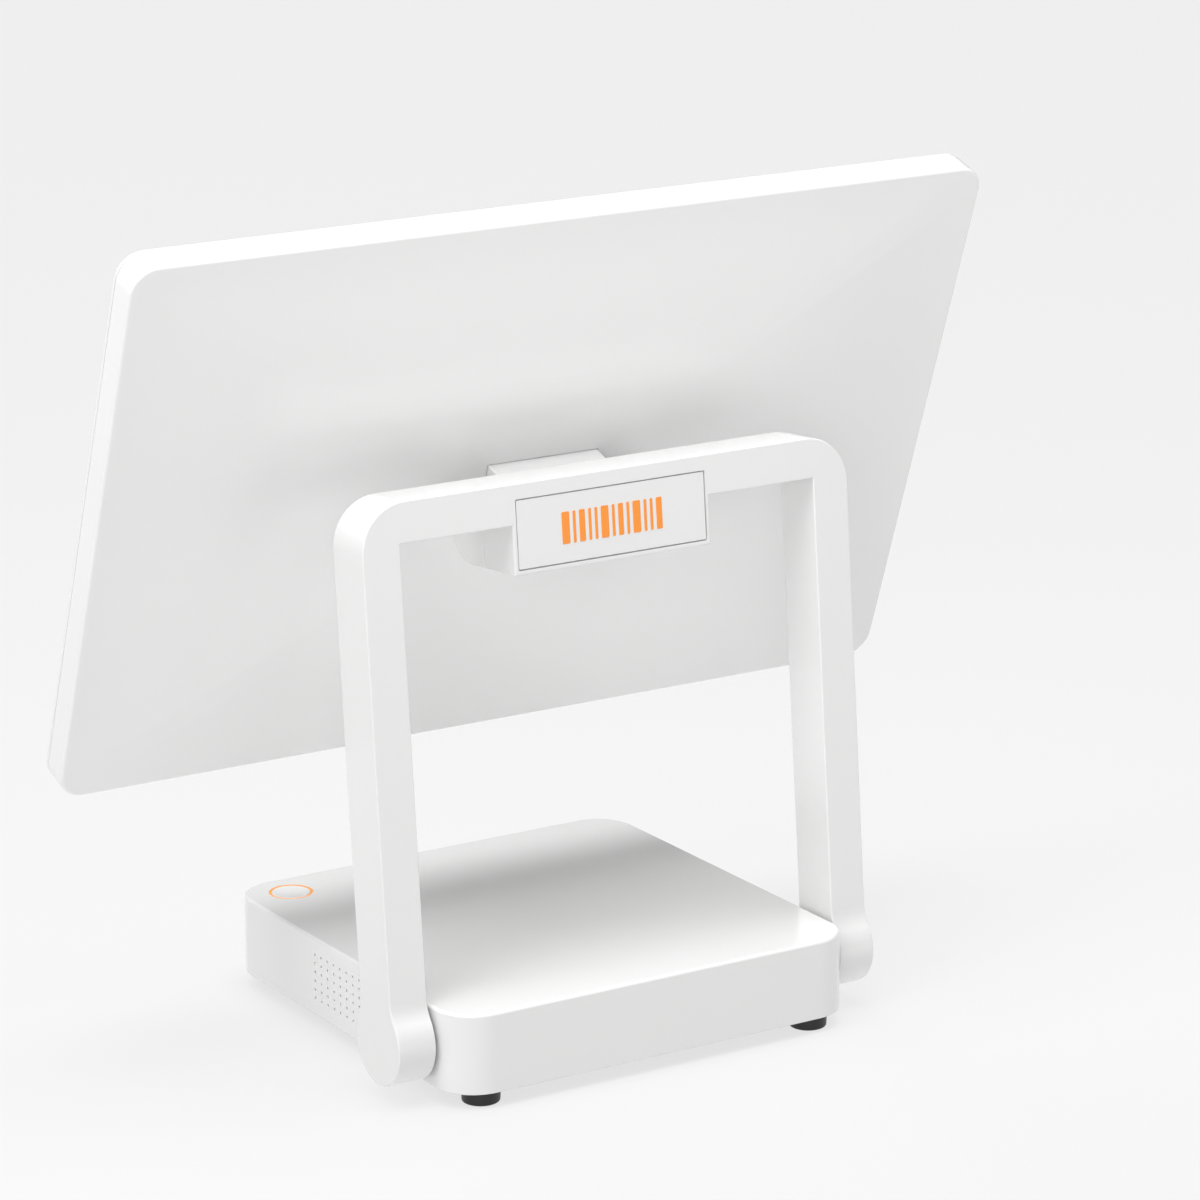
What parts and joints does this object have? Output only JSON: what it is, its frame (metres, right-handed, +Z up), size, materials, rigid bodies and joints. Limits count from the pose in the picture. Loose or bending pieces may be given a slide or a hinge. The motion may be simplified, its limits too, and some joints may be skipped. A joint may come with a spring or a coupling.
{
  "type": "pos touchscreen terminal",
  "caption": "Countertop checkout terminal: a square computer base, an arch stand on two side hinge discs, and a tilting touchscreen on a central hinge block.",
  "frame": {"origin": "on the supporting surface, under the middle of the base", "axes": "+Z up, +Y to the rear, away from the operator, +X to the operator's right, along the display's width"},
  "size_m": [0.38, 0.1836, 0.3325],
  "materials": {
    "white_plastic": "satin moulded white ABS with a very fine spark texture",
    "black_plastic": "matte black moulded plastic",
    "foot_rubber": "matte black rubber",
    "steel": "zinc plated",
    "nylon": "black nylon",
    "circuit_board": "green solder resist",
    "aluminium": "extruded, natural",
    "connector_shell": "nickel plated sheet",
    "orange_light_ring": "translucent orange light guide, lit",
    "orange_print": "orange printed ink",
    "screen_glass": "black-backed cover glass, unlit screen"
  },
  "bodies": {
    "base": {"base_top_cover": "white_plastic", "base_bottom_plate": "black_plastic", "foot_front_left": "foot_rubber", "foot_front_right": "foot_rubber", "foot_rear_left": "foot_rubber", "foot_rear_right": "foot_rubber", "base_screw_front_left": "steel", "base_screw_front_right": "steel", "base_screw_rear_left": "steel", "base_screw_rear_right": "steel", "stand_hinge_bracket_left": "steel", "stand_hinge_bracket_right": "steel", "stand_hinge_shaft_left": "steel", "stand_hinge_shaft_right": "steel", "stand_hinge_nut_left": "steel", "stand_hinge_nut_right": "steel", "stand_hinge_washer_left": "nylon", "stand_hinge_washer_right": "nylon", "mainboard": "circuit_board", "cpu_heatsink": "aluminium", "memory_module": "circuit_board", "ssd_module": "circuit_board", "speaker": "black_plastic", "dc_jack": "black_plastic", "lan_port": "connector_shell", "usb_port_1": "connector_shell", "usb_port_2": "connector_shell", "drawer_port": "black_plastic", "button_light_ring": "orange_light_ring", "button_board": "circuit_board", "power_switch": "black_plastic"},
    "button": {"power_button": "white_plastic"},
    "stand": {"stand_frame": "white_plastic", "stand_front_cover": "white_plastic", "nameplate": "white_plastic", "nameplate_mark": "orange_print", "hinge_front_cover": "white_plastic", "tilt_hinge_left": "steel", "tilt_hinge_right": "steel"},
    "display": {"rear_cover": "white_plastic", "front_trim": "white_plastic", "touch_glass": "screen_glass", "lcd_panel": "black_plastic", "panel_frame": "steel", "driver_board": "circuit_board", "touch_controller": "circuit_board", "neck_bracket": "steel", "neck_cover": "white_plastic", "tilt_shaft": "steel", "bracket_screw_1": "steel", "bracket_screw_2": "steel", "bracket_screw_3": "steel", "bracket_screw_4": "steel"}
  },
  "joints": [
    {"name": "stand_tilt", "type": "hinge", "parent": "base", "child": "stand", "pos_m": [0, 0.0617, 0.02364], "axis": [1, 0, 0], "range_deg": [-20, 25]},
    {"name": "display_tilt", "type": "hinge", "parent": "stand", "child": "display", "pos_m": [0, 0.02444, 0.20953], "axis": [1, 0, 0], "range_deg": [-35, 20]},
    {"name": "power_button_press", "type": "slide", "parent": "base", "child": "button", "axis": [0, 0, -1], "range_m": [0, 0.0008], "stiffness_N_per_m": 3000, "springref_m": -0.0002}
  ]
}
